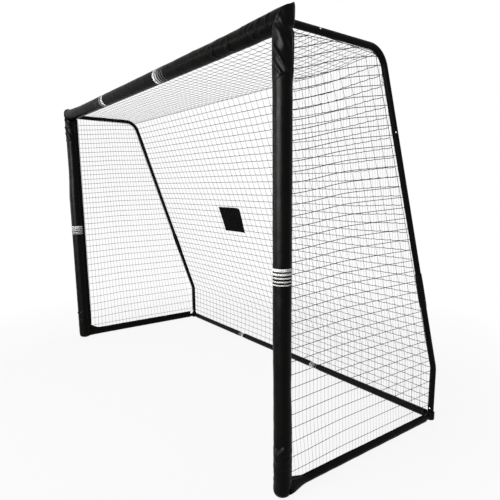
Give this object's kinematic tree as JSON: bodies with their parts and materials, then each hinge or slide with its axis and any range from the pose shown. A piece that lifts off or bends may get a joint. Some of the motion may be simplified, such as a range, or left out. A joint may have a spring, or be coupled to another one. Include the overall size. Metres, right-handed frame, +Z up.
{
  "type": "football goal",
  "caption": "Free-standing garden football goal: padded steel posts and crossbar, bare steel rear frame and a net on the roof, sides and back.",
  "frame": {"origin": "on the ground, in the middle of the goal's footprint", "axes": "+X along the crossbar, -Y out of the goal mouth, +Z up"},
  "size_m": [3.0036, 1.1886, 2.0018],
  "materials": {
    "coated_steel": "black powder coat, satin",
    "black_plastic": "moulded black nylon",
    "grey_foam": "closed-cell foam tube, hidden",
    "pvc_sheeting": "wrinkled black PVC-coated cloth",
    "light_band": "printed light bands",
    "zinc_steel": "zinc plated",
    "netting": "knotted black cord"
  },
  "bodies": {
    "frame": {"corner_rear_left": "black_plastic", "corner_rear_right": "black_plastic", "corner_top_left": "coated_steel", "corner_top_right": "coated_steel", "crossbar_band_left": "light_band", "crossbar_band_right": "light_band", "crossbar_tube_left": "coated_steel", "crossbar_tube_middle": "coated_steel", "crossbar_tube_right": "coated_steel", "foam_crossbar": "grey_foam", "foam_post_left": "grey_foam", "foam_post_right": "grey_foam", "foot_elbow_left": "coated_steel", "foot_elbow_right": "coated_steel", "foot_screw_left": "zinc_steel", "foot_screw_right": "zinc_steel", "net_lower": "netting", "net_patch": "pvc_sheeting", "net_roof": "netting", "net_side_left": "netting", "net_side_right": "netting", "net_slope": "netting", "post_band_left": "light_band", "post_band_right": "light_band", "post_lower_left": "coated_steel", "post_lower_right": "coated_steel", "post_upper_left": "coated_steel", "post_upper_right": "coated_steel", "rear_bar_band_left": "light_band", "rear_bar_band_right": "light_band", "rear_bar_left": "coated_steel", "rear_bar_middle": "coated_steel", "rear_bar_right": "coated_steel", "rear_bolt_left": "zinc_steel", "rear_bolt_right": "zinc_steel", "rear_nut_left": "zinc_steel", "rear_nut_right": "zinc_steel", "rear_upright_left": "coated_steel", "rear_upright_right": "coated_steel", "roof_arm_left": "coated_steel", "roof_arm_right": "coated_steel", "side_bar_left": "coated_steel", "side_bar_right": "coated_steel", "sleeve_crossbar": "pvc_sheeting", "sleeve_post_left": "pvc_sheeting", "sleeve_post_right": "pvc_sheeting", "sleeve_side_bar_left": "pvc_sheeting", "sleeve_side_bar_right": "pvc_sheeting", "slope_joint_sleeve_left": "black_plastic", "slope_joint_sleeve_right": "black_plastic", "slope_tube_left": "coated_steel", "slope_tube_right": "coated_steel", "snap_spring_arm_left": "zinc_steel", "snap_spring_arm_right": "zinc_steel", "snap_spring_slope_left": "zinc_steel", "snap_spring_slope_right": "zinc_steel"},
    "button_arm_left": {"snap_button_arm_left": "zinc_steel"},
    "button_arm_right": {"snap_button_arm_right": "zinc_steel"},
    "button_slope_left": {"snap_button_slope_left": "zinc_steel"},
    "button_slope_right": {"snap_button_slope_right": "zinc_steel"}
  },
  "joints": [
    {"name": "press_button_arm_left", "type": "hinge", "parent": "frame", "child": "button_arm_left", "pos_m": [-1.47079, -0.41805, 1.9652], "axis": [-0.342, 0, -0.9397], "range_deg": [0, 6.5], "stiffness_Nm_per_rad": 5},
    {"name": "press_button_arm_right", "type": "hinge", "parent": "frame", "child": "button_arm_right", "pos_m": [1.47079, -0.41805, 1.9652], "axis": [-0.342, 0, 0.9397], "range_deg": [0, 6.5], "stiffness_Nm_per_rad": 5},
    {"name": "press_button_slope_left", "type": "hinge", "parent": "frame", "child": "button_slope_left", "pos_m": [-1.46967, 0.11058, 1.64528], "axis": [0.5736, -0.7751, -0.265], "range_deg": [0, 6.5], "stiffness_Nm_per_rad": 5},
    {"name": "press_button_slope_right", "type": "hinge", "parent": "frame", "child": "button_slope_right", "pos_m": [1.46967, 0.11058, 1.64528], "axis": [0.5736, 0.7751, 0.265], "range_deg": [0, 6.5], "stiffness_Nm_per_rad": 5}
  ]
}
